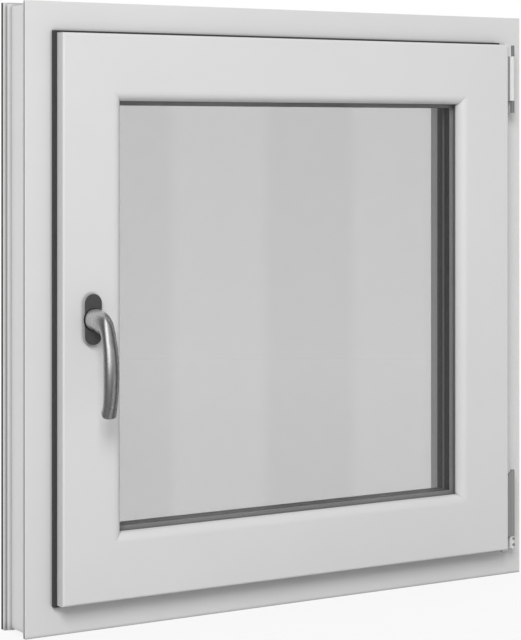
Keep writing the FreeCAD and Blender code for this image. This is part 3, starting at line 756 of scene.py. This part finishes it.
def brightnessByTurn(tree, turn, stops):
    # a soft ramp over a full turn; the first stop is repeated at the end
    node = tree.nodes.new("ShaderNodeValToRGB")
    ramp = node.color_ramp
    ramp.interpolation = "EASE"
    top = max(value for _, value in stops)
    full = list(stops) + [(180, stops[0][1])]
    while len(ramp.elements) < len(full):
        ramp.elements.new(0.5)
    for element, (angle, value) in zip(ramp.elements, full):
        element.position = angle / 360 + 0.5
        element.color = (value / top, value / top, value / top, 1)
    tree.links.new(turn, node.inputs["Fac"])
    return mathOf(tree, "MULTIPLY", node.outputs["Color"], top)


def lightStrips(tree, turn):
    # soft upright strips of light in a part of the turn
    cycle = 2 * math.pi / studio["stripTurn"]
    wave = mathOf(tree, "MULTIPLY_ADD", turn, cycle * 360, -cycle * (180 + studio["stripFirst"]))
    wave = mathOf(tree, "COSINE", wave)
    strips = rangeOf(tree, wave, 0.0, studio["stripLight"], *studio["stripShape"])
    left, right = [angle / 360 + 0.5 for angle in studio["stripPlace"]]
    softness = studio["stripEdge"] / 360
    strips = mathOf(tree, "MULTIPLY", strips, above(tree, turn, left - softness, softness))
    return mathOf(tree, "MULTIPLY", strips, below(tree, turn, right, softness))


def makeWorld():
    world = bpy.data.worlds.new("studio")
    scene.world = world
    world.use_nodes = True
    tree = world.node_tree
    tree.nodes.clear()
    output = tree.nodes.new("ShaderNodeOutputWorld")
    background = tree.nodes.new("ShaderNodeBackground")
    background.inputs["Color"].default_value = (1, 1, 1, 1)
    direction = tree.nodes.new("ShaderNodeSeparateXYZ")
    tree.links.new(tree.nodes.new("ShaderNodeTexCoord").outputs["Generated"], direction.inputs["Vector"])
    across, depth, height = direction.outputs["X"], direction.outputs["Y"], direction.outputs["Z"]
    turn = mathOf(tree, "ARCTAN2", across, mathOf(tree, "MULTIPLY", depth, -1.0))
    turn = mathOf(tree, "MULTIPLY_ADD", turn, 0.5 / math.pi, 0.5)
    upward = mathOf(tree, "MAXIMUM", height, 0.0)
    leaned = mathOf(tree, "ADD", turn, mathOf(tree, "MULTIPLY", upward, studio["mirrorLean"] / 360))
    low = brightnessByTurn(tree, turn, studio["mirrorLow"])
    high = brightnessByTurn(tree, leaned, studio["mirrorHigh"])
    floorLevel = brightnessByTurn(tree, turn, studio["mirrorFloor"])
    mirrored = blendNumbers(tree, rangeOf(tree, height, 0.0, 1.0, *studio["mirrorBreak"]), low, high)
    aboveFloor = rangeOf(tree, height, 0.0, 1.0, *studio["floorBreak"])
    mirrored = blendNumbers(tree, aboveFloor, floorLevel, mirrored)
    mirrored = mathOf(tree, "ADD", mirrored, lightStrips(tree, turn))
    front = rangeOf(tree, across, *studio["ambientFront"], *studio["ambientAcross"])
    behind = rangeOf(tree, depth, 0.0, 1.0, *studio["ambientDepth"])
    ambient = blendNumbers(tree, behind, front, studio["ambientBack"])
    path = tree.nodes.new("ShaderNodeLightPath")
    strength = blendNumbers(tree, path.outputs["Is Glossy Ray"], ambient, mirrored)
    strength = blendNumbers(tree, seenByEye(tree), strength, 1.0)
    tree.links.new(strength, background.inputs["Strength"])
    tree.links.new(background.outputs["Background"], output.inputs["Surface"])


def makeLamp(name, place, size, power):
    data = bpy.data.lights.new(name, "AREA")
    data.size = size
    data.energy = power
    lamp = bpy.data.objects.new(name, data)
    lamp.location = place
    lamp.rotation_euler = (Vector(studio["aim"]) - Vector(place)).to_track_quat("-Z", "Y").to_euler()
    lamp.visible_glossy = False  # the backdrop's bright side stands in for it in mirrors
    scene.collection.objects.link(lamp)


def makeStudio():
    makeFloor()
    makeWorld()
    makeLamp("keyLamp", studio["keyPlace"], studio["keySize"], studio["keyPower"])
    scene.view_settings.view_transform = "Standard"
    print("studio: done")


# camera at the photograph's place
cameraPlan = {
    "place": (-1.6059, -2.5376, 0.6372),
    "yaw": 32.2,  # degrees to the right of straight on
    "lens": 121.56,
    "sensor": 36.0,
    "shift": -0.2867,  # keeps the uprights parallel with the camera level
    "far": 100.0,
}


def makeCamera():
    data = bpy.data.cameras.new("photoCamera")
    data.lens = cameraPlan["lens"]
    data.sensor_width = cameraPlan["sensor"]
    data.sensor_fit = "AUTO"
    data.shift_y = cameraPlan["shift"]
    data.clip_end = cameraPlan["far"]
    camera = bpy.data.objects.new("photoCamera", data)
    camera.location = cameraPlan["place"]
    camera.rotation_euler = (math.radians(90), 0, math.radians(-cameraPlan["yaw"]))
    scene.collection.objects.link(camera)
    scene.camera = camera
    print("camera: done")


dressWindow()
makeLever()
makeBearingScrews()
makeStudio()
makeCamera()
